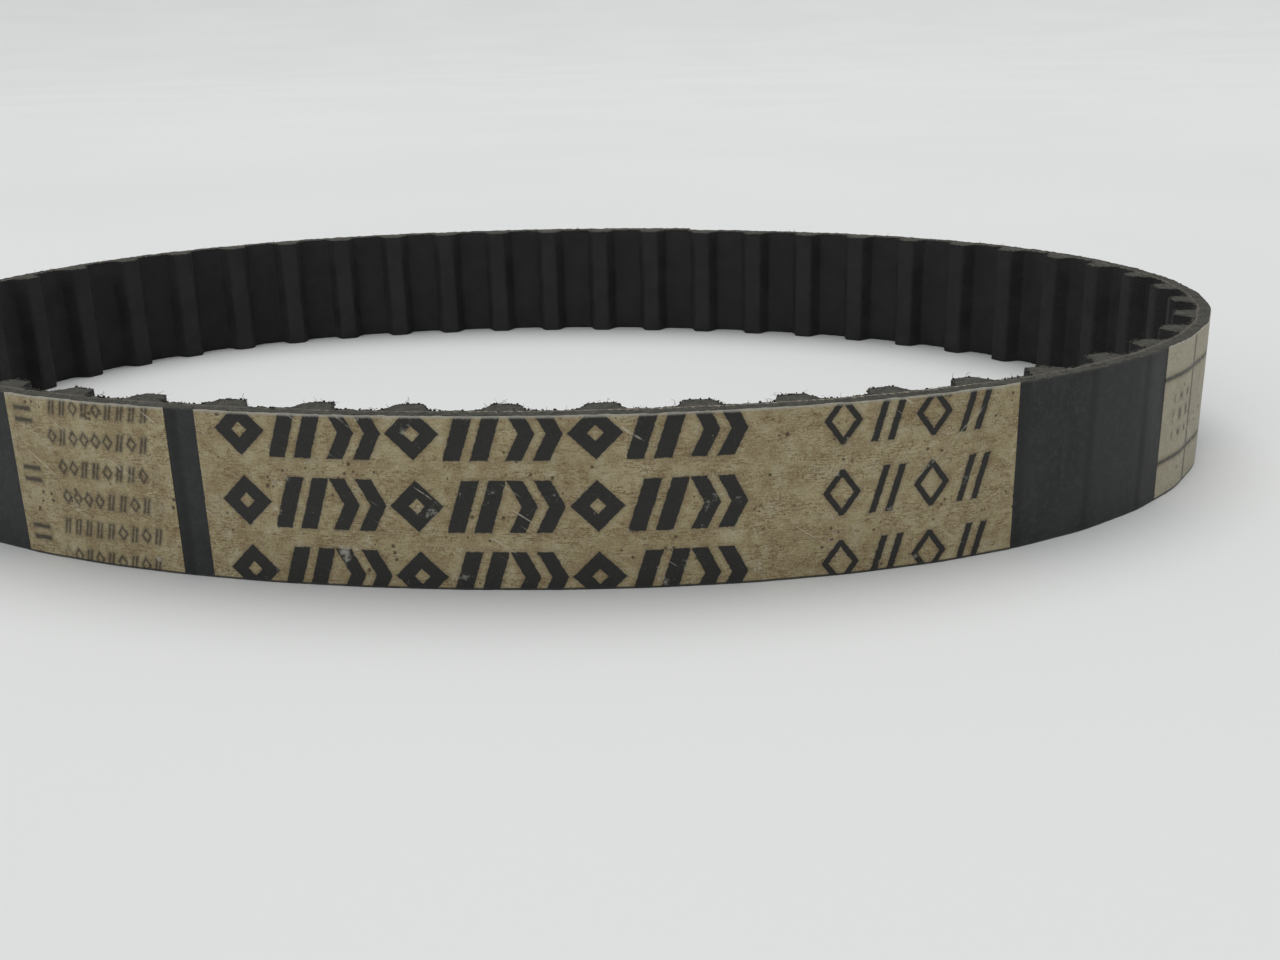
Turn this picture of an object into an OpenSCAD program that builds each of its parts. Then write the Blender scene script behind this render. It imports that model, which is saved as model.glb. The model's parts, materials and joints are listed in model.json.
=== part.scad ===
// Endless toothed timing belt, standing on one cut edge.
// The loop is a chain of equal pitches that bend only at the lands between teeth.

/* [Belt] */
// Number of teeth round the loop, always even
teeth = 50; // [40:2:54]
// Distance from tooth to tooth along the pitch line
pitch = 5.08; // [4.8:0.02:5.4]
// Width of the belt, from cut edge to cut edge
belt_w = 9.5; // [8:0.1:12.7]
// How oval the loop lies: 0 is round, 1 has straight sides
ovality = 0.5; // [0:0.05:1]

/* [Section] */
// Depth of the smooth back outside the pitch line
back_t = 0.776; // [0.7:0.01:1]
// Depth of the lands inside the pitch line
land_t = 0.254; // [0.24:0.002:0.4]
// Height of a tooth above the lands
tooth_h = 1.27; // [1.1:0.01:1.4]
// Width of a tooth where its flanks meet the lands
tooth_root_w = 2.57; // [2.3:0.01:2.7]
// Lean of each flank
flank_angle = 25; // [20:1:28]
// Radius of the fillets at the root and the tip
fillet_r = 0.38; // [0.3:0.01:0.4]

/* [Cord and facing] */
// Thickness of the tension cord
cord_t = 0.2; // [0.15:0.01:0.22]
// Number of turns of the cord, side by side
cord_turns = 12; // [8:1:16]
// Thickness of the woven facing on the toothed side
facing_t = 0.08; // [0.06:0.01:0.1]

/* [Printed labels] */
// Thickness of the printed film on the back
film_t = 0.05; // [0.03:0.01:0.1]
// Start of the main label, measured along the belt from the first tooth
main_start = -11.3; // [-13:0.1:-10]
// Length of the main label
main_l = 43.9; // [30:0.1:46]
// Gap between the main label and the small label before it
small_gap = 1.8; // [1:0.1:4]
// Length of the small label before the main one
small_l = 11; // [6:0.1:14]
// Gap between the main label and the end label after it
end_gap = 12.8; // [6:0.1:16]
// Length of the end label
end_l = 12; // [6:0.5:20]

/* [Hidden] */

fit_gap = 0.01;
arc_steps = 3;
turn = 360 / teeth;
slice_half = pitch / 2 - fit_gap;
widest_bend = 2 * turn;
rubber_land = land_t - facing_t - fit_gap;
// The inner corner of a slice is cut back so that it clears its neighbour at the widest bend.
corner_cut = rubber_land * tan(widest_bend / 2) + fit_gap;
cord_spacing = belt_w / cord_turns;

root_x = tooth_root_w / 2 + (fillet_r - fillet_r * sin(flank_angle)) / cos(flank_angle);
root_centre = [root_x, land_t + fillet_r];
tip_drop = tooth_h - fillet_r;
tip_x = tooth_root_w / 2 - (fillet_r + tip_drop * sin(flank_angle)) / cos(flank_angle);
tip_centre = [tip_x, land_t + tip_drop];

function tooth_name(i) = str("tooth_", i < 9 ? "0" : "", i + 1);
function along(angle) = [cos(angle), sin(angle)];
function inward(angle) = [-sin(angle), cos(angle)];
function wrap(i) = (i + teeth) % teeth;

// Bend at the land after tooth i.
function bend(i) = turn * (1 - ovality * cos(2 * turn * (i + 0.5)));

// Direction of the belt at each tooth, and the place of each tooth on the pitch line.
headings = [for (i = 0, a = 0; i < teeth; a = a + bend(i), i = i + 1) a];
trail = [
    for (
        i = 0, p = [0, 0];
        i < teeth;
        p = p + pitch / 2 * (along(headings[i]) + along(headings[wrap(i + 1)])), i = i + 1
    ) p
];
middle = (trail[0] + trail[teeth / 2]) / 2;
places = [for (p = trail) p - middle];

// A point of tooth i given along the belt and towards the inside of the loop.
function on_tooth(i, x, y) = places[i] + x * along(headings[i]) + y * inward(headings[i]);

// The corner at the land after tooth i, at depth y towards the inside.
function corner(i, y) =
    let (half = bend(i) / 2)
    on_tooth(i, pitch / 2, 0) + y / cos(half) * inward(headings[i] + half);

// One half of the toothed profile, from land to tip, moved into the rubber by inset.
function arc(centre, r, from, to) =
    [for (k = [0:arc_steps]) centre + r * along(from + (to - from) * k / arc_steps)];
function half_profile(inset) = concat(
    arc(root_centre, fillet_r + inset, 270, 180 + flank_angle),
    arc(tip_centre, fillet_r - inset, flank_angle, 90)
);
function mirrored(points) =
    [for (k = [len(points) - 1:-1:0]) [-points[k].x, points[k].y]];
function profile(inset) = concat(half_profile(inset), mirrored(half_profile(inset)));

// The whole toothed side as one closed outline.
function toothed_loop(inset) = [
    for (i = [0:teeth - 1])
        each concat(
            [for (p = mirrored(profile(inset))) on_tooth(i, -p.x, p.y)],
            [corner(i, land_t - inset)]
        )
];
function plain_loop(y) = [for (i = [0:teeth - 1]) corner(i, y)];

// A line on the back at depth y, from one place along the belt to another.
function back_line(start, end, y) =
    let (
        first = floor(start / pitch + 0.5),
        last = floor(end / pitch + 0.5)
    )
    concat(
        [on_tooth(wrap(first), start - first * pitch, y)],
        first < last ? [for (i = [first:last - 1]) corner(wrap(i), y)] : [],
        [on_tooth(wrap(last), end - last * pitch, y)]
    );
function reversed(points) = [for (k = [len(points) - 1:-1:0]) points[k]];

module band(outer, inner) {
    n = len(outer);
    m = len(inner);
    polygon(
        points = concat(outer, inner),
        paths = [[for (k = [0:n - 1]) k], [for (k = [0:m - 1]) n + k]]
    );
}

module slice_outline() {
    inset = facing_t + fit_gap;
    polygon(concat(
        [
            [-slice_half, 0],
            [-slice_half, -back_t],
            [slice_half, -back_t],
            [slice_half, 0],
            [pitch / 2 - corner_cut, rubber_land]
        ],
        profile(inset),
        [[-pitch / 2 + corner_cut, rubber_land]]
    ));
}

// One pitch of the moulded rubber: a tooth with its share of the back, open where the cord runs.
module tooth(i) {
    tunnel = cord_t + 2 * fit_gap;
    color("#28292c")
    translate(places[i])
    rotate(headings[i])
    difference() {
        linear_extrude(belt_w) slice_outline();
        translate([0, 0, belt_w / 2])
            cube([2 * pitch, tunnel, belt_w - cord_spacing + tunnel], center = true);
    }
}

// Turns of the tension cord, side by side on the pitch line.
module tension_cord() {
    color("#c4b48f")
    for (k = [0:cord_turns - 1])
        translate([0, 0, (k + 0.5) * cord_spacing - cord_t / 2])
            linear_extrude(cord_t)
                band(plain_loop(-cord_t / 2), plain_loop(cord_t / 2));
}

// Woven facing over the teeth and the lands.
module tooth_facing() {
    color("#3b3834")
    linear_extrude(belt_w) band(toothed_loop(facing_t), toothed_loop(0));
}

// A strip of printed film on the back.
module label(start, length) {
    under = -back_t - fit_gap;
    color("#b5a886")
    translate([0, 0, fit_gap])
    linear_extrude(belt_w - 2 * fit_gap)
    polygon(concat(
        back_line(start, start + length, under - film_t),
        reversed(back_line(start, start + length, under))
    ));
}

module label_main() {
    label(main_start, main_l);
}

module label_small() {
    label(main_start - small_gap - small_l, small_l);
}

module label_end() {
    label(main_start + main_l + end_gap, end_l);
}

for (i = [0:teeth - 1]) tooth(i);
tension_cord();
tooth_facing();
label_main();
label_small();
label_end();
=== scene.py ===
"""Looks of an endless timing belt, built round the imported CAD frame.

The belt is built pitch by pitch. Each piece runs from the middle of one tooth to the middle of the next and
bends over the land between them, as the real belt does. Working lengths are in millimetres.
"""

import json
import math

import bpy
import numpy as np
from mathutils import Matrix, Vector


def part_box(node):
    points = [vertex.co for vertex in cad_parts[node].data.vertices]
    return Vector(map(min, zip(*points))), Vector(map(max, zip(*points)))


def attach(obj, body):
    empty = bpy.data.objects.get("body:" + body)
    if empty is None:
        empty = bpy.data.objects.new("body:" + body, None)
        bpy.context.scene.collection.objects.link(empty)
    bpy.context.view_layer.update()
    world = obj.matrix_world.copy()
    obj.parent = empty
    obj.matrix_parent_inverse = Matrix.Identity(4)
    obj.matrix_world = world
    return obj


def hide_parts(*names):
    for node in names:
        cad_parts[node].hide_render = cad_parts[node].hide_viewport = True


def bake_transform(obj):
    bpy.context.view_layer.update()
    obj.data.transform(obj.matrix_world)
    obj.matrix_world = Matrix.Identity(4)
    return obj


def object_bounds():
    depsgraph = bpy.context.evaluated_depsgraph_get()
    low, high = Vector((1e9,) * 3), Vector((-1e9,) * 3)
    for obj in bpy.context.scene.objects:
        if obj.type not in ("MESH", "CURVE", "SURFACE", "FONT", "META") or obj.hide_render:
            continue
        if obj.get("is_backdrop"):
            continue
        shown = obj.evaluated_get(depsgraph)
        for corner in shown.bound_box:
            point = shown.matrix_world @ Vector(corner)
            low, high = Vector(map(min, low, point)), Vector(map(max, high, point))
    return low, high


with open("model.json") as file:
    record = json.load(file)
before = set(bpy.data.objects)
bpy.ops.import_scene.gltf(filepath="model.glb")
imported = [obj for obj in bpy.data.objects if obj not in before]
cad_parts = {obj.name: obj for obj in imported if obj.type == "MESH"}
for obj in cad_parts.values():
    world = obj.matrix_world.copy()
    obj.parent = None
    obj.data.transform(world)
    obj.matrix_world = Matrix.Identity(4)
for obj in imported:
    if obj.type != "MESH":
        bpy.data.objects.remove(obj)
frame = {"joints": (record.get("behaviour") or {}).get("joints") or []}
cad_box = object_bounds()

# ---------------------------------------------------------------- sizes, in millimetres
MM = 0.001
TEETH = 50

# the section: the back behind the pitch line, the land in front of it and the tooth on the land
BACK = 0.776
LAND = 0.254
TOOTH_H = 1.27
ROOT_HALF = 1.285
FLANK = math.radians(25)
FILLET = 0.38

# the woven facing, and the films, which are sunk into the back
FACING = 0.08
FILM = 0.025
FILM_SUNK = 0.03

# a land bends within this distance of its middle
FLEX = 1.4

# the cord leaves the belt through its cut edges, where it stands a little proud
CORD_R = 0.1
CORD_TURNS = 12
CORD_RUNS_OUT_AT = 34.0
CORD_PROUD = 0.012

# the knife left a step in the far side's upper edge, which fades out leftwards from there
KNIFE_STEP = 0.14
KNIFE_STEP_X = 8.5
KNIFE_FADE = 45

# wear on and beside the cut edges, and the unevenness of the back
WORN_BAND = 0.45
CHIP_DEPTH = 0.42
THREADS = 14
CRUMBS = 26
RIPPLE = 0.03

# where each printed film starts and ends along the belt, from the middle of the first tooth
LABELS = {
    "label_small": (-24.1, -13.1),
    "label_main": (-11.3, 32.6),
    "label_end": (45.4, 57.4),
}

SEED = 7


# ---------------------------------------------------------------- the loop, from the frame
def hinge_points():
    """The land corners on the pitch line, in order; the land with no joint mirrors the first one."""
    found = {}
    for joint in frame["joints"]:
        index = int(joint["name"].split("_")[1]) - 1
        found[index] = np.array(joint["pos_m"][:2]) / MM
    missing = next(i for i in range(TEETH) if i not in found)
    found[missing] = -found[missing - TEETH // 2]
    return [found[i] for i in range(TEETH)], missing


HINGES, OPEN_LAND = hinge_points()
PLACES = [(HINGES[i - 1] + HINGES[i]) / 2 for i in range(TEETH)]
RUNS = [HINGES[i] - HINGES[i - 1] for i in range(TEETH)]
PITCH = float(np.mean([np.linalg.norm(r) for r in RUNS]))
HEADINGS = [math.atan2(r[1], r[0]) for r in RUNS]
WIDTH = float(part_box("tooth_01")[1][2]) / MM
LOOP = TEETH * PITCH


def body(i):
    return f"pitch_{i % TEETH + 1:02d}"


def signed_s(i):
    """Distance along the belt from the first tooth to tooth i, between minus and plus half the loop."""
    return (i if i <= TEETH // 2 else i - TEETH) * PITCH


class Land:
    """The stretch of belt from the middle of tooth i to the middle of the next tooth."""

    STEPS = 240

    def __init__(self, i):
        self.i = i
        self.start_s = signed_s(i)
        self.heading = HEADINGS[i]
        turn = HEADINGS[(i + 1) % TEETH] - self.heading
        self.turn = (turn + math.pi) % (2 * math.pi) - math.pi
        self.x = np.linspace(-PITCH / 2, PITCH / 2, self.STEPS + 1)
        angle = self.angle(self.x)
        middle = (angle[1:] + angle[:-1]) / 2
        step = self.x[1] - self.x[0]
        line = np.zeros((self.STEPS + 1, 2))
        line[1:, 0] = np.cumsum(np.cos(middle)) * step
        line[1:, 1] = np.cumsum(np.sin(middle)) * step
        chord = PLACES[(i + 1) % TEETH] - PLACES[i]
        line *= np.linalg.norm(chord) / np.linalg.norm(line[-1])
        self.line = line + PLACES[i]

    def angle(self, x):
        t = np.clip((x + FLEX) / (2 * FLEX), 0, 1)
        return self.heading + self.turn * t * t * (3 - 2 * t)

    def place(self, x, y, z):
        """World points, in millimetres, of belt points: x along from the land's middle, y inwards, z up."""
        a = self.angle(x)
        px = np.interp(x, self.x, self.line[:, 0]) - y * np.sin(a)
        py = np.interp(x, self.x, self.line[:, 1]) + y * np.cos(a)
        return np.stack([px, py, z], axis=-1)


LANDS = [Land(i) for i in range(TEETH)]


# ---------------------------------------------------------------- numeric noise for the meshes
def lattice(ix, iy, iz, seed):
    h = (ix * 374761393 + iy * 668265263 + iz * 2147483647 + seed * 974634777) & 0xFFFFFFFF
    h = ((h ^ (h >> 13)) * 1274126177) & 0xFFFFFFFF
    return ((h ^ (h >> 16)) & 0xFFFF) / 65535.0


def grain(p, size, seed=0):
    """Smooth value noise from 0 to 1 at points p, with lumps about size millimetres across."""
    q = np.asarray(p, float) / size
    base = np.floor(q).astype(np.int64)
    f = q - base
    f = f * f * (3 - 2 * f)
    total = 0
    for corner in range(8):
        o = np.array([corner & 1, corner >> 1 & 1, corner >> 2 & 1])
        weight = np.prod(np.where(o, f, 1 - f), axis=-1)
        cell = base + o
        total = total + weight * lattice(cell[..., 0], cell[..., 1], cell[..., 2], seed + SEED)
    return total


# ---------------------------------------------------------------- the toothed section
def arc(centre, r, start, end, steps):
    a = np.radians(np.linspace(start, end, steps + 1))
    return np.stack([centre[0] + r * np.cos(a), centre[1] + r * np.sin(a)], axis=-1)


def half_section(inset):
    """Points from a tooth's middle to a land's middle, moved into the rubber by inset."""
    lean, cosine = math.sin(FLANK), math.cos(FLANK)
    root = (ROOT_HALF + (FILLET - FILLET * lean) / cosine, LAND + FILLET)
    drop = TOOTH_H - FILLET
    tip = (ROOT_HALF - (FILLET + drop * lean) / cosine, LAND + drop)
    tip_arc = arc(tip, FILLET - inset, 90, math.degrees(FLANK), 5)
    root_arc = arc(root, FILLET + inset, 180 + math.degrees(FLANK), 270, 5)
    top = np.linspace([0, tip_arc[0, 1]], tip_arc[0], 6)[:-1]
    flank = np.linspace(tip_arc[-1], root_arc[0], 6)[1:-1]
    land = np.linspace(root_arc[-1], [PITCH / 2, root_arc[-1, 1]], 9)[1:]
    return np.concatenate([top, tip_arc, flank, root_arc, land])


def section(inset):
    """Points from the middle of one tooth to the middle of the next, with x from the land's middle."""
    left = half_section(inset) - [PITCH / 2, 0]
    right = left[::-1][1:] * [-1, 1]
    return np.concatenate([left, right])


def rows(edge, step):
    """Heights across the belt, closer together by the two cut edges."""
    inner = np.linspace(edge[-1], WIDTH - edge[-1], int((WIDTH - 2 * edge[-1]) / step) + 1)
    return np.concatenate([edge[:-1], inner, WIDTH - np.array(edge[:-1])[::-1]])


# how finely the meshes are divided
EDGE_ROWS = [0.0, 0.035, 0.09, 0.18, 0.32, 0.5]
ROW_STEP = 0.7
FILM_ROW_STEP = 0.35
FILM_COLUMN = 0.2
CUT_STEPS = 9


# ---------------------------------------------------------------- meshes
def make_object(name, points, faces, land, x, y, z, cut, sharp=()):
    """A mesh object that keeps its belt coordinates as attributes, so that its materials never slide."""
    mesh = bpy.data.meshes.new(name)
    mesh.from_pydata((points * MM).tolist(), [], [tuple(int(v) for v in f) for f in faces])
    mesh.update()
    mesh.shade_smooth()
    if sharp:
        marks = np.zeros(len(mesh.edges), bool)
        keys = {frozenset(e) for e in sharp}
        for edge in mesh.edges:
            if frozenset(edge.vertices) in keys:
                marks[edge.index] = True
        mesh.attributes.new("sharp_edge", "BOOLEAN", "EDGE").data.foreach_set("value", marks)
    s = land.start_s + x + PITCH / 2
    coords = {"belt": np.stack([s, y, z], axis=-1), "rest": points}
    for key, values in coords.items():
        layer = mesh.attributes.new(key, "FLOAT_VECTOR", "POINT")
        layer.data.foreach_set("vector", values.astype(np.float32).ravel())
    layer = mesh.attributes.new("cut", "FLOAT", "POINT")
    layer.data.foreach_set("value", cut.astype(np.float32))
    obj = bpy.data.objects.new(name, mesh)
    bpy.context.scene.collection.objects.link(obj)
    return obj


def tube_faces(columns, ring):
    """Faces of a closed tube whose vertices run ring by ring, with its two ends filled."""
    c, r = np.meshgrid(np.arange(columns - 1), np.arange(ring), indexing="ij")
    a, b = c * ring + r, c * ring + (r + 1) % ring
    sides = np.stack([a, b, b + ring, a + ring], axis=-1).reshape(-1, 4)
    last = (columns - 1) * ring
    ends = [list(range(ring))[::-1], [last + k for k in range(ring)]]
    rims = []
    for base in (0, last):
        rims += [(base + k, base + (k + 1) % ring) for k in range(ring)]
    return [list(f) for f in sides] + ends, rims


def joined(meshes):
    """The points and faces of several small meshes as one."""
    points, faces, count = [], [], 0
    for mesh_points, mesh_faces in meshes:
        faces += [[v + count for v in f] for f in mesh_faces]
        points.append(mesh_points)
        count += len(mesh_points)
    return np.concatenate(points), faces


def wall(land, name, x, outer_y, inner_y, heights, cap_steps, rough):
    """A closed stretch of belt between two depths, roughened by the function rough before it is bent."""
    m, k = len(heights), cap_steps
    across = np.linspace(0, 1, k + 2)[1:-1]
    mix = np.concatenate([np.zeros(m), across, np.ones(m), 1 - across])
    height = np.concatenate([heights, np.full(k, WIDTH), heights[::-1], np.zeros(k)])
    on_cut = np.zeros(len(mix))
    on_cut[m - 1 : m + k + 1] = 1
    on_cut[2 * m + k - 1 :] = 1
    on_cut[0] = 1
    ring = len(mix)
    xs = np.repeat(x, ring)
    ys = (outer_y[:, None] * (1 - mix) + inner_y[:, None] * mix).ravel()
    zs = np.tile(height, len(x))
    cut = np.tile(on_cut, len(x))
    inside = np.tile(mix, len(x))
    xs, ys, zs = rough(land, xs, ys, zs, cut, inside)
    points = land.place(xs, ys, zs)
    faces, rims = tube_faces(len(x), ring)
    return make_object(name, points, faces, land, xs, ys, zs, cut, sharp=rims)


def belt_points(land, x, y, z):
    """Points for noise that runs on from one pitch to the next and changes with depth."""
    return land.place(x, y * 0, z) + np.stack([y * 0, y * 0, y * 7], axis=-1)


def near_edge(z):
    """1 at the two cut edges, falling to 0 where the worn band ends."""
    return np.clip(1 - np.minimum(z, WIDTH - z) / WORN_BAND, 0, 1) ** 1.5


def back_ripple(p, nearness):
    """The back and the films on it are a little uneven, but not at the cut edges."""
    return (grain(p, 1.7, 5) - 0.5) * RIPPLE * (1 - nearness)


def torn(land, x, y, z, cut, inside):
    """The knife leaves the cut edges rough, and the toothed side a little chipped beside them."""
    p = belt_points(land, x, y, z)
    at_top = z > WIDTH / 2
    lumps = grain(p, 0.34, 1) * 0.6 + grain(p, 0.13, 2) * 0.4
    rise = np.where(at_top, (lumps - 0.62) * 0.14, lumps * 0.03)
    nearness = near_edge(z)
    far_left = (p[:, 0] < KNIFE_STEP_X) * (p[:, 1] > 0)
    step = far_left * np.clip(1 - (KNIFE_STEP_X - p[:, 0]) / KNIFE_FADE, 0, 1) * KNIFE_STEP
    z = z + cut * (rise + at_top * step)
    chips = np.clip(grain(p, 0.42, 3) * 0.65 + grain(p, 0.15, 4) * 0.35 - 0.42, 0, 1)
    y = y - inside * nearness * chips * CHIP_DEPTH
    y = y + (1 - inside) * back_ripple(p, nearness)
    return x, y, z


def join_belt(piece, land, half=None):
    """Bakes the piece's placing into its mesh, or lets half of the one open land ride on its own tooth."""
    if half is not None:
        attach(piece, body(land.i + half))
        return
    start = land.place(np.array([-FLEX]), np.zeros(1), np.full(1, WIDTH / 2))[0] * MM
    end = land.place(np.array([FLEX]), np.zeros(1), np.full(1, WIDTH / 2))[0] * MM
    body(land.i)
    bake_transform(piece)


def stretches(land, x):
    """The columns of one land: all of them, or each half of the open land."""
    if land.i != OPEN_LAND:
        yield None, slice(0, len(x))
        return
    middle = len(x) // 2
    yield 0, slice(0, middle + 1)
    yield 1, slice(middle, len(x))


def piece_name(kind, land, half=None):
    tail = "" if half is None else "ab"[half]
    return f"{kind}_{land.i + 1:02d}{tail}"


def add_rubber(land, material):
    """The rubber of one land, with half a tooth at each end."""
    line = section(FACING)
    for half, part in stretches(land, line):
        x, inner = line[part, 0], line[part, 1]
        outer = np.full(len(x), -BACK)
        name = piece_name("rubber", land, half)
        piece = wall(land, name, x, outer, inner, rows(EDGE_ROWS, ROW_STEP), CUT_STEPS, torn)
        piece.data.materials.append(material)
        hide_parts(f"tooth_{(land.i + (half or 0)) % TEETH + 1:02d}")
        join_belt(piece, land, half)


def add_facing(land, material):
    """The woven facing, which follows the teeth and the land."""
    hidden, shown = section(FACING), section(0)
    for half, part in stretches(land, shown):
        x = shown[part, 0]
        name = piece_name("facing", land, half)
        under = np.interp(x, hidden[:, 0], hidden[:, 1])
        piece = wall(land, name, x, under, shown[part, 1], rows(EDGE_ROWS, ROW_STEP), 1, torn)
        piece.data.materials.append(material)
        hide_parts("tooth_facing")
        join_belt(piece, land, half)


def add_cords(land, material):
    """The turns of one helical cord. It runs out through the cut edges, where the knife sliced it."""
    sides, columns = 6, 13
    spacing = WIDTH / CORD_TURNS
    for half, part in stretches(land, np.arange(columns)):
        x = np.linspace(-PITCH / 2, PITCH / 2, columns)[part]
        s = land.start_s + x + PITCH / 2
        turned = ((s - CORD_RUNS_OUT_AT) / LOOP) % 1.0
        angle = np.arange(sides) / sides * 2 * math.pi
        tubes = []
        for turn in range(CORD_TURNS):
            z = (turn + turned) * spacing
            if np.ptp(z) > spacing / 2:
                # the count of turns starts again here, so the last part is one turn too high
                z = np.where(z > z.mean(), z - spacing if turn else 0.0, z)
            tube_z = np.clip(z[:, None] + CORD_R * np.sin(angle), 0.0, WIDTH + CORD_PROUD)
            tube_y = np.tile(CORD_R * np.cos(angle), len(x))
            tube = np.stack([np.repeat(x, sides), tube_y, tube_z.ravel()], axis=-1)
            tubes.append((tube, tube_faces(len(x), sides)[0]))
        points, faces = joined(tubes)
        xs, ys, zs = points.T
        name = piece_name("cord", land, half)
        piece = make_object(name, land.place(xs, ys, zs), faces, land, xs, ys, zs, xs * 0)
        piece.data.materials.append(material)
        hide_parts("tension_cord")
        join_belt(piece, land, half)


def add_labels(land, materials):
    """The part of each printed film that lies over this land."""
    for label, (start, end) in LABELS.items():
        low = max(start - land.start_s, 0) - PITCH / 2
        high = min(end - land.start_s, PITCH) - PITCH / 2
        if high - low < 1e-6:
            continue
        x = np.linspace(low, high, max(3, int((high - low) / FILM_COLUMN) + 1))
        outer = np.full(len(x), -BACK - FILM)
        inner = np.full(len(x), -BACK + FILM_SUNK)
        name = f"{label}_{land.i + 1:02d}"
        piece = wall(land, name, x, outer, inner, rows(EDGE_ROWS, FILM_ROW_STEP), 1, worn_film)
        piece.data.materials.append(materials[label])
        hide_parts(label)
        join_belt(piece, land)


def worn_film(land, x, y, z, cut, inside):
    """A film follows the uneven back, and its long edges are a little ragged."""
    p = belt_points(land, x, y * 0, z)
    y = y + back_ripple(p, near_edge(z))
    lift = 0.012 + 0.03 * grain(p, 0.5, 11)
    return x, y, np.clip(z, lift, WIDTH - lift)


# ---------------------------------------------------------------- loose threads and crumbs on the cut edges
def thread_points(random, root):
    """Centre line of one short curled thread that starts at root."""
    length = random.uniform(0.18, 0.62)
    heading = random.uniform(0, 2 * math.pi)
    climb = random.uniform(-0.1, 1.1)
    curl = random.uniform(-7, 7)
    steps = 6
    points = [np.array(root)]
    for _ in range(steps):
        level = math.cos(climb)
        step = np.array([math.cos(heading) * level, math.sin(heading) * level, math.sin(climb)])
        points.append(points[-1] + step * length / steps)
        heading += curl / steps + random.normal(0, 0.25)
        climb += random.normal(-0.12, 0.3)
    return np.array(points)


def thread_mesh(line, radius):
    """A thin tube along the line, tapering to its end."""
    sides = 4
    along = np.gradient(line, axis=0)
    along /= np.linalg.norm(along, axis=1)[:, None]
    side = np.cross(along, [0.3, 0.2, 1.0])
    side /= np.linalg.norm(side, axis=1)[:, None]
    up = np.cross(side, along)
    taper = np.linspace(1, 0.45, len(line))[:, None, None] * radius
    a = (np.arange(sides) / sides * 2 * math.pi)[None, :, None]
    points = line[:, None] + taper * (np.cos(a) * side[:, None] + np.sin(a) * up[:, None])
    return points.reshape(-1, 3), tube_faces(len(line), sides)[0]


def crumb_mesh(random, centre, radius):
    """A torn crumb of rubber: a lumpy seven-sided bead."""
    sides, rings = 7, 4
    points = []
    for ring in range(rings):
        tilt = math.pi * (ring + 0.5) / rings - math.pi / 2
        for k in range(sides):
            r = radius * random.uniform(0.65, 1.25)
            a = 2 * math.pi * k / sides
            level = r * math.cos(tilt)
            points.append([level * math.cos(a), level * math.sin(a), 0.8 * r * math.sin(tilt)])
    return np.array(points) + centre, tube_faces(rings, sides)[0]


def add_fray(land, material):
    """Threads and crumbs on both cut edges, most of them on the toothed rim."""
    random = np.random.default_rng(SEED * 1000 + land.i)
    line = section(0)
    meshes = []
    low, high = (-PITCH / 2, PITCH / 2) if land.i != OPEN_LAND else (-PITCH / 2, -0.15)
    amount = 0.5 + 1.2 * random.random()
    for edge_z, share in ((WIDTH, 1.0), (0.0, 0.35)):
        for _ in range(int(THREADS * amount * share)):
            x = random.uniform(low, high)
            y = np.interp(x, line[:, 0], line[:, 1]) - random.uniform(0.0, 0.22)
            z = edge_z - 0.02 if edge_z else 0.05
            curl = thread_points(random, [x, y, z])
            curl[:, 0] = np.clip(curl[:, 0], low, high)
            curl[:, 2] = np.maximum(curl[:, 2], 0.02)
            meshes.append(thread_mesh(curl, random.uniform(0.008, 0.016)))
        for _ in range(int(CRUMBS * amount * share)):
            x = random.uniform(low + 0.1, high - 0.1)
            depth = np.interp(x, line[:, 0], line[:, 1])
            on_rim = random.random() < 0.7
            y = depth - random.uniform(-0.03, 0.12) if on_rim else random.uniform(-0.6, depth)
            radius = random.uniform(0.025, 0.085) if on_rim else random.uniform(0.015, 0.045)
            z = edge_z + random.uniform(-0.03, 0.02) if edge_z else radius + 0.01
            meshes.append(crumb_mesh(random, np.array([x, y, z]), radius))
    p, faces = joined(meshes)
    placed = land.place(p[:, 0], p[:, 1], p[:, 2])
    piece = make_object(piece_name("fray", land), placed, faces, land, *p.T, np.ones(len(p)))
    piece.data.materials.append(material)
    join_belt(piece, land, 0 if land.i == OPEN_LAND else None)


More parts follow.
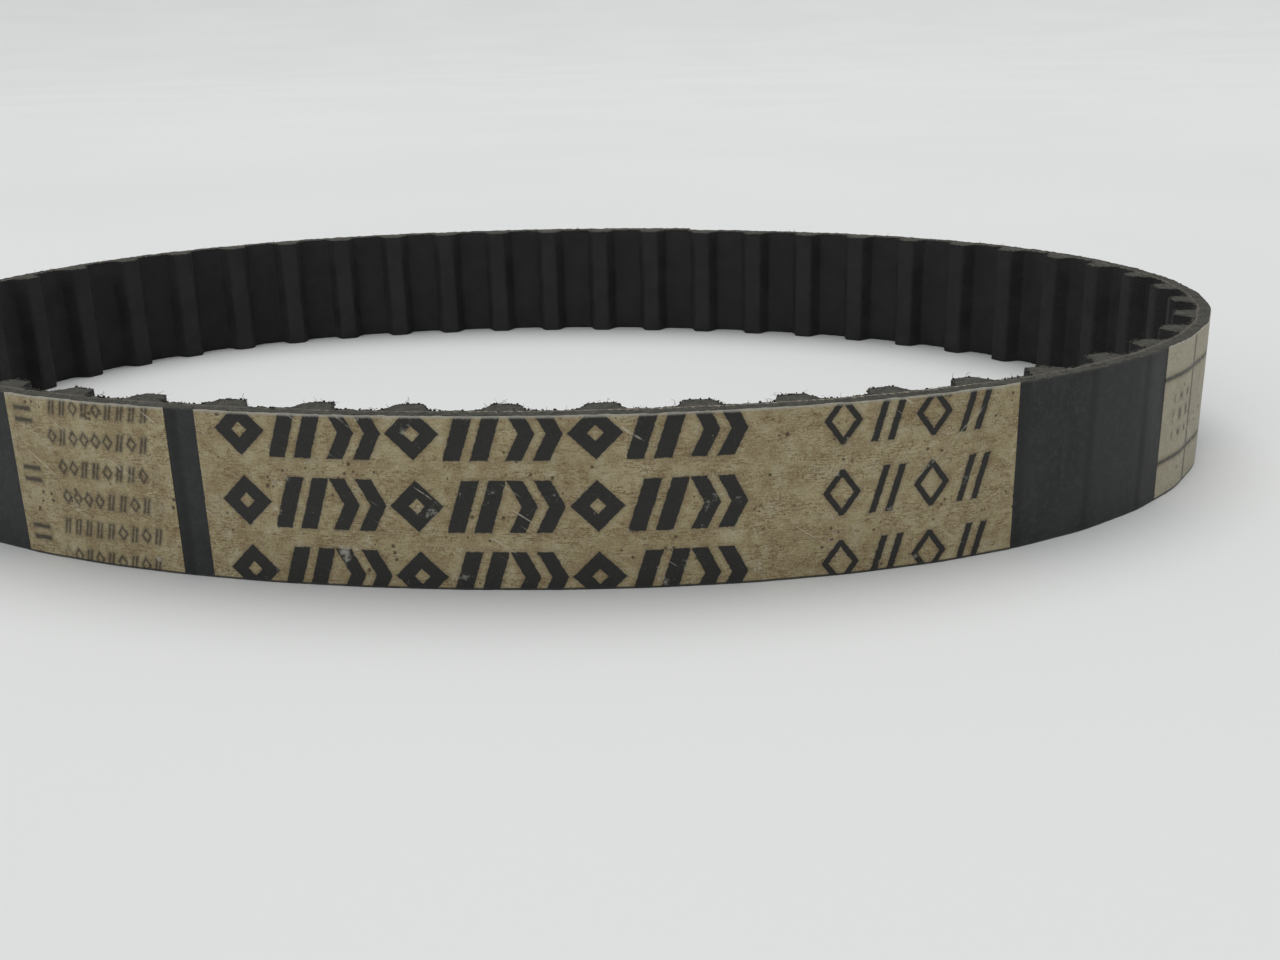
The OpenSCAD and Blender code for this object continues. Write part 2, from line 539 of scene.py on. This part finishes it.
# ---------------------------------------------------------------- shader helpers
class Nodes:
    """Short calls for building one material's nodes. A value is a number or an output socket."""

    def __init__(self, name):
        self.material = bpy.data.materials.new(name)
        self.material.use_nodes = True
        self.tree = self.material.node_tree
        self.shader = self.tree.nodes["Principled BSDF"]

    def new(self, kind, **settings):
        node = self.tree.nodes.new(kind)
        for key, value in settings.items():
            setattr(node, key, value)
        return node

    def plug(self, value, socket):
        if isinstance(value, bpy.types.NodeSocket):
            self.tree.links.new(value, socket)
        elif isinstance(value, (tuple, list)) and len(socket.default_value) == 4 and len(value) == 3:
            socket.default_value = (*value, 1)
        else:
            socket.default_value = value

    def math(self, operation, a, b=0.0, c=0.0):
        node = self.new("ShaderNodeMath", operation=operation)
        for value, socket in zip((a, b, c), node.inputs):
            self.plug(value, socket)
        return node.outputs[0]

    def add(self, a, b):
        return self.math("ADD", a, b)

    def sub(self, a, b):
        return self.math("SUBTRACT", a, b)

    def mul(self, a, b):
        return self.math("MULTIPLY", a, b)

    def least(self, a, b):
        return self.math("MINIMUM", a, b)

    def most(self, a, b):
        return self.math("MAXIMUM", a, b)

    def size(self, a):
        return self.math("ABSOLUTE", a)

    def wrap(self, a, period):
        """The place within one period, from minus half to plus half of it."""
        turned = self.math("FLOORED_MODULO", self.add(a, period / 2), period)
        return self.sub(turned, period / 2)

    def ramp(self, value, low, high, out_low=0.0, out_high=1.0):
        node = self.new("ShaderNodeMapRange", interpolation_type="SMOOTHSTEP")
        inputs = ("Value", "From Min", "From Max", "To Min", "To Max")
        for key, v in zip(inputs, (value, low, high, out_low, out_high)):
            self.plug(v, node.inputs[key])
        return node.outputs[0]

    def inside(self, distance, soft=0.03):
        """1 where the distance is below zero."""
        return self.ramp(distance, -soft, soft, 1.0, 0.0)

    def mix(self, amount, a, b):
        node = self.new("ShaderNodeMix", data_type="RGBA")
        self.plug(amount, node.inputs["Factor"])
        self.plug(a, node.inputs[6])
        self.plug(b, node.inputs[7])
        return node.outputs[2]

    def attribute(self, name, output):
        return self.new("ShaderNodeAttribute", attribute_name=name).outputs[output]

    def split(self, vector):
        node = self.new("ShaderNodeSeparateXYZ")
        self.plug(vector, node.inputs[0])
        return node.outputs

    def join(self, x, y, z):
        node = self.new("ShaderNodeCombineXYZ")
        for value, socket in zip((x, y, z), node.inputs):
            self.plug(value, socket)
        return node.outputs[0]

    def noise(self, vector, scale, detail=3.0, roughness=0.6):
        node = self.new("ShaderNodeTexNoise")
        inputs = {"Vector": vector, "Scale": scale, "Detail": detail, "Roughness": roughness}
        for key, v in inputs.items():
            self.plug(v, node.inputs[key])
        return node.outputs[0]

    def cells(self, vector, scale):
        node = self.new("ShaderNodeTexVoronoi")
        self.plug(vector, node.inputs["Vector"])
        self.plug(scale, node.inputs["Scale"])
        return node.outputs["Distance"]

    def finish(self, colour, roughness, height, bump=0.02, distance=0.0001, specular=0.5):
        self.plug(colour, self.shader.inputs["Base Color"])
        self.plug(roughness, self.shader.inputs["Roughness"])
        self.shader.inputs["Specular IOR Level"].default_value = specular
        node = self.new("ShaderNodeBump")
        node.inputs["Strength"].default_value = bump
        node.inputs["Distance"].default_value = distance
        self.plug(height, node.inputs["Height"])
        self.plug(node.outputs[0], self.shader.inputs["Normal"])
        return self.material


# ---------------------------------------------------------------- materials
# how often the facing's threads and the cord's twist repeat, in millimetres
WARP_PITCH = 0.30
WEFT_PITCH = 0.24
CORD_TWIST = 0.42


def cut_rubber(n, rest, belt):
    """Colour and bumps of the knife-cut edge: brownish grey, crumbly, with a paler line along the cord."""
    _, y, _ = belt
    coarse = n.noise(rest, 2.2, 4, 0.7)
    fine = n.noise(rest, 11, 4, 0.75)
    colour = n.mix(n.ramp(coarse, 0.3, 0.7), (0.024, 0.0235, 0.019), (0.062, 0.060, 0.048))
    colour = n.mix(n.ramp(fine, 0.56, 0.75), colour, (0.12, 0.115, 0.092))
    colour = n.mix(n.ramp(fine, 0.42, 0.25), colour, (0.012, 0.011, 0.010))
    cord_line = n.inside(n.sub(n.size(n.add(y, n.mul(n.sub(coarse, 0.5), 0.1))), 0.09), 0.06)
    return n.mix(n.mul(cord_line, 0.35), colour, (0.16, 0.14, 0.11)), fine


def rubber_material():
    """Dull mottled rubber with a soft crease over each land, darkened there by painted shade, and raw where
    the knife cut it.
    """
    n = Nodes("moulded rubber")
    rest = n.attribute("rest", "Vector")
    belt = n.split(n.attribute("belt", "Vector"))
    s, y, z = belt
    cut = n.attribute("cut", "Fac")
    broad = n.noise(rest, 0.35, 3, 0.6)
    fine = n.noise(rest, 26, 3, 0.65)
    streak = n.noise(n.join(n.mul(s, 2.2), y, n.mul(z, 0.25)), 1.0, 4, 0.7)
    colour = n.mix(n.ramp(broad, 0.35, 0.65), (0.0125, 0.0128, 0.0134), (0.0245, 0.0248, 0.0250))
    mottle = n.noise(rest, 2.6, 5, 0.75)
    colour = n.mix(n.ramp(mottle, 0.48, 0.62, 0.0, 0.5), colour, (0.036, 0.037, 0.040))
    colour = n.mix(n.mul(n.ramp(streak, 0.45, 0.8), 0.5), colour, (0.032, 0.0325, 0.032))
    # painted shade: the colour is darkened in a soft band over the middle of each land, where the belt
    # bends, by an amount that changes slowly along the belt; the same band is also a small dip in the bumps
    land = n.wrap(n.sub(s, PITCH / 2), PITCH)
    depth = n.ramp(n.noise(n.join(n.mul(s, 0.16), 3.0, 0.0), 1.0, 2), 0.40, 0.60, 0.3, 0.85)
    crease_painted_shade = n.mul(n.ramp(n.size(land), 0.06, 0.5, 1.0, 0.0), depth)
    colour = n.mix(crease_painted_shade, colour, (0.005, 0.005, 0.0055))
    dust = n.ramp(n.noise(rest, 5, 6, 0.8), 0.62, 0.8)
    colour = n.mix(n.mul(dust, 0.35), colour, (0.10, 0.098, 0.092))
    edge_wear = n.ramp(n.least(z, n.sub(WIDTH, z)), 0.02, 0.14, 1.0, 0.0)
    colour = n.mix(n.mul(edge_wear, 0.5), colour, (0.07, 0.067, 0.06))
    raw, raw_fine = cut_rubber(n, rest, belt)
    colour = n.mix(n.ramp(cut, 0.3, 0.9), colour, raw)
    roughness = n.add(n.ramp(broad, 0.3, 0.7, 0.5, 0.62), n.mul(cut, 0.3))
    height = n.add(n.mul(fine, 0.35), n.sub(n.mul(streak, 0.5), n.mul(crease_painted_shade, 0.5)))
    height = n.add(height, n.mul(raw_fine, n.mul(cut, 2.0)))
    return n.finish(colour, roughness, height, 0.35, 0.00006, 0.28)


def facing_material():
    """Dark woven facing, a little paler where the tips of the teeth are worn."""
    n = Nodes("woven facing")
    rest = n.attribute("rest", "Vector")
    belt = n.split(n.attribute("belt", "Vector"))
    s, y, z = belt
    cut = n.attribute("cut", "Fac")
    broad = n.noise(rest, 0.5, 4, 0.65)
    warp = n.math("SINE", n.mul(n.add(s, n.mul(broad, 0.2)), 2 * math.pi / WARP_PITCH))
    weft = n.math("SINE", n.mul(n.add(z, n.mul(broad, 0.2)), 2 * math.pi / WEFT_PITCH))
    weave = n.mul(warp, weft)
    colour = n.mix(n.ramp(broad, 0.35, 0.65), (0.0115, 0.0115, 0.0118), (0.021, 0.0205, 0.020))
    colour = n.mix(n.ramp(weave, 0.2, 1.0, 0.0, 0.35), colour, (0.034, 0.033, 0.032))
    tip = n.ramp(y, LAND + TOOTH_H - 0.25, LAND + TOOTH_H, 0.0, 1.0)
    worn = n.mul(tip, n.ramp(n.noise(rest, 1.2, 5, 0.7), 0.45, 0.75))
    colour = n.mix(n.mul(worn, 0.3), colour, (0.030, 0.029, 0.028))
    raw, raw_fine = cut_rubber(n, rest, belt)
    colour = n.mix(n.ramp(cut, 0.3, 0.9), colour, raw)
    height = n.add(n.mul(weave, 0.6), n.mul(raw_fine, 0.8))
    return n.finish(colour, n.ramp(broad, 0.3, 0.7, 0.72, 0.85), height, 0.5, 0.00004, 0.3)


def fray_material():
    """Brown and grey threads and crumbs."""
    n = Nodes("frayed edge")
    rest = n.attribute("rest", "Vector")
    fine = n.noise(rest, 6, 3, 0.7)
    colour = n.mix(n.ramp(fine, 0.35, 0.7), (0.012, 0.0105, 0.009), (0.062, 0.053, 0.042))
    return n.finish(colour, 0.85, fine, 0.3, 0.00004, 0.3)


def cord_material():
    """Twisted glass cord, mostly stained dark."""
    n = Nodes("glass cord")
    rest = n.attribute("rest", "Vector")
    s, y, _ = n.split(n.attribute("belt", "Vector"))
    twist = n.math("SINE", n.add(n.mul(s, 2 * math.pi / CORD_TWIST), n.mul(y, 14)))
    dirt = n.noise(rest, 4, 4, 0.7)
    colour = n.mix(n.ramp(twist, -0.6, 0.8), (0.10, 0.085, 0.06), (0.27, 0.235, 0.17))
    colour = n.mix(n.ramp(dirt, 0.42, 0.6), colour, (0.05, 0.044, 0.036))
    return n.finish(colour, 0.6, twist, 0.4, 0.00004, 0.4)


# ---------------------------------------------------------------- printed marks, all of them plain shapes
# the rows of marks: their spacing, the lowest full row's foot and the height of the bold marks
ROW = 3.9
ROW_BASE = 3.2
BOLD_H = 2.85

# the film's own colour, and the one long scratch: its start along and up the belt, and its length
TAN = (0.300, 0.250, 0.134)
LIGHT_TAN = (0.365, 0.312, 0.180)
LONG_SCRATCH = (26.2, 4.6)
LONG_SCRATCH_LENGTH = 5.6


def row_height(n, z):
    """Height within a printed row, from the middle of its marks."""
    return n.wrap(n.sub(z, ROW_BASE + BOLD_H / 2), ROW)


def between(n, value, low, high):
    """Distance outside the stretch from low to high."""
    return n.sub(n.size(n.sub(value, (low + high) / 2)), (high - low) / 2)


def bold_marks(n, s, z):
    """Diamonds, leaning bars and chevrons, repeated."""
    start, end, cell = -10.3, 17.6, 3.1
    v = row_height(n, z)
    rise = n.size(v)
    u = n.wrap(n.sub(s, start + cell / 2), cell)
    kind = n.math("FLOORED_MODULO", n.math("FLOOR", n.math("DIVIDE", n.sub(s, start), cell)), 3.0)
    spread = n.add(n.size(u), rise)
    diamond = n.most(n.sub(spread, 1.42), n.sub(0.42, spread))
    leaning = n.sub(u, n.mul(v, 0.32))
    bars = n.sub(n.size(n.sub(n.size(leaning), 0.70)), 0.46)
    bent = n.sub(n.add(u, n.mul(rise, 0.5)), 0.35)
    chevrons = n.sub(n.size(n.sub(n.size(bent), 0.70)), 0.43)
    chosen = 0.0
    for index, shape in enumerate((diamond, bars, chevrons)):
        chosen = n.add(chosen, n.mul(shape, n.math("COMPARE", kind, float(index), 0.5)))
    return n.most(n.most(chosen, n.sub(rise, BOLD_H / 2)), between(n, s, start, end))


def light_marks(n, s, z):
    """Thin open diamonds and a pair of thin leaning strokes."""
    start, end, cell, height = 21.2, 31.2, 2.5, 2.55
    v = row_height(n, z)
    rise = n.size(v)
    u = n.wrap(n.sub(s, start + cell / 2), cell)
    kind = n.math("FLOORED_MODULO", n.math("FLOOR", n.math("DIVIDE", n.sub(s, start), cell)), 2.0)
    outline = n.sub(n.size(n.sub(n.add(n.size(u), n.mul(rise, 0.72)), 0.82)), 0.2)
    leaning = n.sub(u, n.mul(v, 0.3))
    strokes = n.sub(n.size(n.sub(n.size(leaning), 0.46)), 0.2)
    pick = n.math("COMPARE", kind, 0.0, 0.5)
    chosen = n.add(n.mul(outline, pick), n.mul(strokes, n.sub(1.0, pick)))
    return n.most(n.most(chosen, n.sub(rise, height / 2)), between(n, s, start, end))


def main_marks(n, s, z):
    return n.least(bold_marks(n, s, z), light_marks(n, s, z))


def small_marks(n, s, z):
    """Rows of small open diamonds and short strokes, with pairs of bars at their left."""
    pitch, cell = 1.74, 0.78
    v = n.wrap(n.sub(z, 0.3), pitch)
    line = n.math("ROUND", n.math("DIVIDE", n.sub(z, 0.3), pitch))
    shift = n.mul(n.math("FLOORED_MODULO", n.mul(line, 0.37), 1.0), 1.3)
    u = n.wrap(n.add(s, shift), cell)
    centre = n.sub(s, u)
    lot = n.noise(n.join(n.mul(centre, 3.7), n.mul(line, 5.3), 0.0), 1.0, 1)
    ring = n.sub(n.size(n.sub(n.add(n.size(u), n.mul(n.size(v), 0.75)), 0.27)), 0.075)
    stroke = n.sub(n.size(n.sub(n.size(n.sub(u, n.mul(v, 0.25))), 0.12)), 0.075)
    pick = n.math("GREATER_THAN", lot, 0.5)
    mark = n.add(n.mul(ring, pick), n.mul(stroke, n.sub(1.0, pick)))
    lines_of_marks = n.most(n.most(mark, n.sub(n.size(v), 0.46)), between(n, centre, -21.0, -14.3))
    pair_v = n.wrap(n.sub(z, 1.4), 2 * pitch)
    bars = n.most(n.sub(n.size(n.sub(n.size(pair_v), 0.34)), 0.13), between(n, s, -23.5, -22.2))
    return n.least(lines_of_marks, bars)


def end_marks(n, s, z):
    """A plain ruled frame with a few ticks."""
    across = n.sub(n.size(n.wrap(n.sub(z, 2.3), 5.15)), 0.13)
    upright = n.sub(n.size(n.wrap(n.sub(s, 50.0), 4.4)), 0.13)
    upright = n.most(upright, n.sub(49.0, s))
    u = n.wrap(n.sub(s, 48.0), 1.1)
    ticks = n.most(n.sub(n.size(u), 0.14), n.sub(n.size(n.wrap(n.sub(z, 4.9), 1.3)), 0.3))
    ticks = n.most(ticks, n.most(between(n, s, 47.0, 49.3), between(n, z, 3.6, 6.2)))
    return n.least(n.least(across, upright), ticks)


def bare_film(n, rest, belt, noises):
    """The film without its print: aged tan, blotched, with dark and pale fibres of cloth showing through."""
    s, y, z = belt
    blotch, fine, grit, fibre = noises
    broad = n.noise(rest, 0.22, 4, 0.6)
    cloth = n.noise(n.join(n.mul(s, 10.0), y, n.mul(z, 16.0)), 1.0, 2, 0.6)
    patch = n.noise(n.join(n.mul(s, 0.45), y, n.mul(z, 1.1)), 1.0, 4, 0.65)
    patch = n.ramp(patch, 0.44, 0.58, 0.35, 1.0)
    colour = n.mix(n.ramp(broad, 0.35, 0.65), TAN, LIGHT_TAN)
    layers = (
        (n.ramp(blotch, 0.48, 0.58, 0.0, 0.6), (0.225, 0.160, 0.078)),
        (n.ramp(blotch, 0.45, 0.36, 0.0, 0.6), (0.40, 0.365, 0.25)),
        (n.mul(patch, n.ramp(fibre, 0.49, 0.60, 0.0, 0.8)), (0.155, 0.092, 0.038)),
        (n.ramp(fibre, 0.46, 0.34, 0.0, 0.45), (0.40, 0.36, 0.25)),
        (n.ramp(cloth, 0.50, 0.66, 0.0, 0.36), (0.130, 0.090, 0.045)),
        (n.ramp(cloth, 0.46, 0.32, 0.0, 0.28), (0.42, 0.38, 0.27)),
        (n.mul(patch, n.ramp(fine, 0.53, 0.63, 0.0, 0.85)), (0.100, 0.058, 0.026)),
        (n.ramp(grit, 0.58, 0.70, 0.0, 0.5), (0.44, 0.40, 0.30)),
    )
    for amount, layer in layers:
        colour = n.mix(amount, colour, layer)
    return colour


def film_specks(n, rest):
    """Amount of dark specks, which come in clusters."""
    cluster = n.noise(rest, 0.42, 3, 0.6)
    return n.mul(n.inside(n.sub(n.cells(rest, 2.2), n.ramp(cluster, 0.50, 0.66, 0.0, 0.26)), 0.05), 0.8)


def film_scratches(n, rest, belt, noises):
    """Amount of scratching: fine slanting scratches and one long one on the right of the main label."""
    s, _, z = belt
    blotch, fine, _, _ = noises
    slant = n.add(n.mul(s, 0.82), n.mul(z, -0.57))
    across = n.add(n.mul(s, 0.57), n.mul(z, 0.82))
    scratch = n.noise(n.join(n.mul(slant, 0.16), n.mul(across, 3.2), 0.0), 1.0, 2, 0.5)
    scratch = n.mul(n.ramp(scratch, 0.68, 0.72), n.ramp(blotch, 0.4, 0.55))
    from_start, above_start = n.sub(s, LONG_SCRATCH[0]), n.sub(z, LONG_SCRATCH[1])
    along = n.add(n.mul(from_start, 0.73), n.mul(above_start, 0.68))
    aside = n.add(n.mul(from_start, -0.68), n.mul(above_start, 0.73))
    aside = n.add(aside, n.mul(n.sub(n.noise(rest, 0.5, 3, 0.6), 0.5), 0.7))
    ends = n.inside(between(n, along, 0.0, LONG_SCRATCH_LENGTH), 0.5)
    long_scratch = n.mul(n.inside(n.sub(n.size(aside), 0.03), 0.05), ends)
    return n.most(scratch, n.mul(long_scratch, n.ramp(fine, 0.35, 0.6)))


def film_material(name, marks, ink_strength, ink_soft, bleached=0.0):
    """A printed film. marks gives the distance outside its marks, and ink_soft blurs their rims."""
    n = Nodes(name)
    rest = n.attribute("rest", "Vector")
    belt = n.split(n.attribute("belt", "Vector"))
    s, y, z = belt
    blotch = n.noise(rest, 1.1, 5, 0.7)
    fine = n.noise(rest, 7.5, 4, 0.75)
    grit = n.noise(rest, 22, 2, 0.6)
    fibre = n.noise(n.join(n.mul(s, 2.0), y, n.mul(z, 12.0)), 1.0, 5, 0.75)
    noises = blotch, fine, grit, fibre
    colour = bare_film(n, rest, belt, noises)
    colour = n.mix(bleached, colour, (0.40, 0.385, 0.315))
    colour = n.mix(film_specks(n, rest), colour, (0.045, 0.028, 0.015))
    wobble = n.mul(n.sub(n.noise(rest, 4.0, 4, 0.6), 0.5), 0.16)
    distance = n.add(marks(n, s, z), wobble)
    colour = n.mix(n.ramp(distance, 0.0, 0.3, 0.35, 0.0), colour, (0.13, 0.098, 0.055))
    pinholes = n.ramp(fine, 0.66, 0.74, 1.0, 0.45)
    thin = n.mul(n.ramp(blotch, 0.62, 0.8, 1.0, 0.8), ink_strength)
    ink = n.mul(n.mul(n.inside(distance, ink_soft), pinholes), thin)
    ink_colour = n.mix(n.ramp(grit, 0.4, 0.7), (0.0095, 0.0098, 0.0108), (0.021, 0.021, 0.0215))
    colour = n.mix(ink, colour, ink_colour)
    scratch = film_scratches(n, rest, belt, noises)
    colour = n.mix(n.mul(scratch, 0.6), colour, (0.50, 0.47, 0.38))
    scuff = n.mul(n.ramp(n.noise(rest, 0.75, 6, 0.75), 0.60, 0.72), 0.5)
    colour = n.mix(scuff, colour, (0.52, 0.50, 0.42))
    rim = n.add(n.sub(WIDTH, z), n.mul(n.sub(fine, 0.5), 0.16))
    colour = n.mix(n.ramp(rim, 0.06, 0.22, 0.75, 0.0), colour, (0.37, 0.355, 0.305))
    low_rim = n.add(z, n.mul(n.sub(fine, 0.5), 0.12))
    colour = n.mix(n.ramp(low_rim, 0.10, 0.17, 0.9, 0.0), colour, (0.028, 0.027, 0.026))
    roughness = n.sub(n.ramp(fine, 0.3, 0.7, 0.50, 0.66), n.mul(ink, 0.06))
    height = n.add(n.add(n.mul(fine, 0.5), n.mul(fibre, 0.5)), n.sub(n.mul(ink, 0.4), n.mul(scratch, 0.7)))
    return n.finish(colour, roughness, height, 0.3, 0.00004, 0.28)


# ---------------------------------------------------------------- stage, light and camera
def pale_surface():
    n = Nodes("pale paper")
    place = n.new("ShaderNodeTexCoord").outputs["Object"]
    soft = n.noise(place, 9, 3, 0.5)
    colour = n.mix(n.ramp(soft, 0.3, 0.7), (0.625, 0.632, 0.624), (0.645, 0.652, 0.644))
    return n.finish(colour, 0.8, n.noise(place, 900, 2, 0.5), 0.02, 0.0001, 0.2)


def add_stage():
    """A round pale sheet that is flat under the belt and curves up far away on every side."""
    flat, radius, lean, steps, sides = 1.0, 5.0, math.radians(60), 24, 96
    profile = [(flat * k / 4, 0.0) for k in range(1, 5)]
    for k in range(1, steps + 1):
        a = lean * k / steps
        profile.append((flat + radius * math.sin(a), radius - radius * math.cos(a)))
    points = [(0.0, 0.0, 0.0)]
    for r, z in profile:
        points += [(r * math.cos(t), r * math.sin(t), z) for t in np.arange(sides) * 2 * math.pi / sides]
    faces = [(0, 1 + j, 1 + (j + 1) % sides) for j in range(sides)]
    for k in range(len(profile) - 1):
        low, high = 1 + k * sides, 1 + (k + 1) * sides
        for j in range(sides):
            following = (j + 1) % sides
            faces.append((low + j, high + j, high + following, low + following))
    mesh = bpy.data.meshes.new("backdrop")
    mesh.from_pydata(points, [], faces)
    mesh.shade_smooth()
    mesh.materials.append(pale_surface())
    obj = bpy.data.objects.new("backdrop", mesh)
    bpy.context.scene.collection.objects.link(obj)
    obj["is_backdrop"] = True


def add_light(name, place, target, size, power, colour):
    data = bpy.data.lights.new(name, "AREA")
    data.shape = "DISK"
    data.size = size
    data.energy = power
    data.color = colour
    obj = bpy.data.objects.new(name, data)
    obj.location = place
    obj.rotation_euler = (Vector(target) - Vector(place)).to_track_quat("-Z", "Y").to_euler()
    bpy.context.scene.collection.objects.link(obj)


def add_lights():
    middle = (0, 0, 0.005)
    add_light("overhead", (0.1, 0.9, 2.9), middle, 3.2, 70.0, (1.0, 0.995, 0.985))
    add_light("front fill", (-0.8, -1.9, 1.3), middle, 1.6, 12.0, (0.98, 0.99, 1.0))
    world = bpy.data.worlds.new("soft room")
    world.use_nodes = True
    world.node_tree.nodes["Background"].inputs["Color"].default_value = (0.95, 0.97, 1.0, 1)
    world.node_tree.nodes["Background"].inputs["Strength"].default_value = 0.50
    bpy.context.scene.world = world


def add_camera():
    """The view from close in front of the belt, a little above it and turned slightly left."""
    eye = Vector((20.82, -97.48, 27.48)) * MM
    turn, tilt, roll = math.radians(7.695), math.radians(18.272), math.radians(1.455)
    level = Vector((-math.sin(turn), math.cos(turn), 0))
    right = Vector((math.cos(turn), math.sin(turn), 0))
    forward = level * math.cos(tilt) - Vector((0, 0, math.sin(tilt)))
    up = level * math.sin(tilt) + Vector((0, 0, math.cos(tilt)))
    across = right * math.cos(roll) - up * math.sin(roll)
    above = right * math.sin(roll) + up * math.cos(roll)
    data = bpy.data.cameras.new("camera")
    data.lens = 37.9
    data.sensor_width = 36
    data.clip_start = 0.001
    data.clip_end = 50
    obj = bpy.data.objects.new("camera", data)
    obj.matrix_world = Matrix.Translation(eye) @ Matrix((across, above, -forward)).transposed().to_4x4()
    bpy.context.scene.collection.objects.link(obj)
    bpy.context.scene.camera = obj


# ---------------------------------------------------------------- the belt
bpy.context.scene.view_settings.view_transform = "Standard"
add_camera()
rubber = rubber_material()
facing = facing_material()
cord = cord_material()
fray = fray_material()
films = {
    "label_main": film_material("printed film, main", main_marks, 0.97, 0.035),
    "label_small": film_material("printed film, small", small_marks, 0.8, 0.09),
    "label_end": film_material("printed film, end", end_marks, 0.8, 0.08, 0.5),
}
for land in LANDS:
    add_rubber(land, rubber)
    add_facing(land, facing)
    add_cords(land, cord)
    add_labels(land, films)
    add_fray(land, fray)
add_stage()
add_lights()

plain = [[[float(v) for v in corner] for corner in b] for b in (cad_box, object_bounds())]
